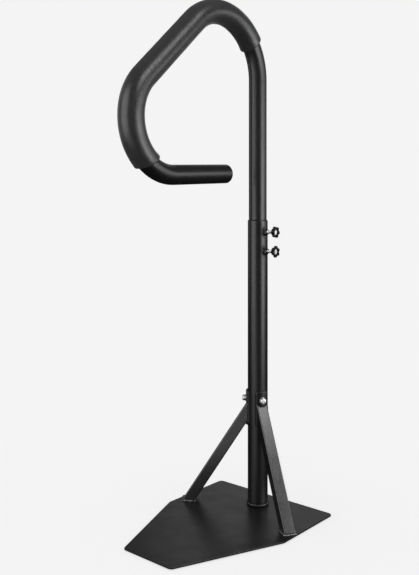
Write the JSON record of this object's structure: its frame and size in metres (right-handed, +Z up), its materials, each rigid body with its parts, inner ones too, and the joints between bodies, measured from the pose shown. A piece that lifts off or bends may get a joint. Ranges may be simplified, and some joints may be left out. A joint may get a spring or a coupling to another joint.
{
  "type": "bed assist rail",
  "caption": "Free-standing bed assist rail: hexagonal floor plate, braced round post, and a height-adjustable bent-tube hand loop with foam grip, held by clamp knobs.",
  "frame": {"origin": "on the floor, at the post's axis, on the underside of the rubber sheet under the plate", "axes": "+Z up along the post; +X the way the hand loop and the narrow end of the floor plate point; +Y towards the clamp knobs"},
  "size_m": [0.4021, 0.268, 0.9398],
  "materials": {
    "black_steel": "satin black powder coat on steel",
    "black_rubber": "matt ribbed rubber sheet",
    "zinc": "bright zinc plated steel",
    "nylon": "black moulded nylon",
    "black_plastic": "semi-gloss black moulded plastic",
    "foam": "matt closed-cell foam with a smooth skin"
  },
  "bodies": {
    "base": {"base_plate": "black_steel", "base_mat": "black_rubber", "lower_post": "black_steel", "post_foot": "black_steel", "post_foot_bolt": "zinc", "brace_left": "black_steel", "brace_right": "black_steel", "brace_end_plate_left": "black_steel", "brace_end_plate_right": "black_steel", "brace_bolts": "zinc", "brace_flat_washers": "zinc", "brace_spring_washers": "zinc", "brace_weld_nuts": "zinc", "knob_weld_nuts": "black_steel"},
    "glide": {"handle_glide": "nylon"},
    "handle": {"handle_tube": "black_steel", "foam_grip": "foam", "bar_end_cap": "black_plastic"},
    "upper_pad": {"clamp_pad_upper": "nylon"},
    "lower_pad": {"clamp_pad_lower": "nylon"},
    "upper_knob": {"knob_upper": "black_plastic", "knob_bolt_upper": "zinc"},
    "lower_knob": {"knob_lower": "black_plastic", "knob_bolt_lower": "zinc"}
  },
  "joints": [
    {"name": "height_slide", "type": "slide", "parent": "base", "child": "glide", "axis": [0, 0, 1], "range_m": [-0.1, 0.1]},
    {"name": "handle_swivel", "type": "hinge", "parent": "glide", "child": "handle", "pos_m": [0, 0, 0.343], "axis": [0, 0, 1], "continuous": true},
    {"name": "upper_knob_feed", "type": "slide", "parent": "base", "child": "upper_pad", "axis": [0, 1, 0], "range_m": [0, 0.006]},
    {"name": "upper_knob_turn", "type": "hinge", "parent": "upper_pad", "child": "upper_knob", "pos_m": [0, 0.0385, 0.522], "axis": [0, 1, 0], "range_deg": [0, 2160]},
    {"name": "lower_knob_feed", "type": "slide", "parent": "base", "child": "lower_pad", "axis": [0, 1, 0], "range_m": [0, 0.006]},
    {"name": "lower_knob_turn", "type": "hinge", "parent": "lower_pad", "child": "lower_knob", "pos_m": [0, 0.0385, 0.4855], "axis": [0, 1, 0], "range_deg": [0, 2160]}
  ],
  "couplings": [
    {"joint": "upper_knob_turn", "follows": "upper_knob_feed", "rad_per_m": 6283.2},
    {"joint": "lower_knob_turn", "follows": "lower_knob_feed", "rad_per_m": 6283.2}
  ]
}
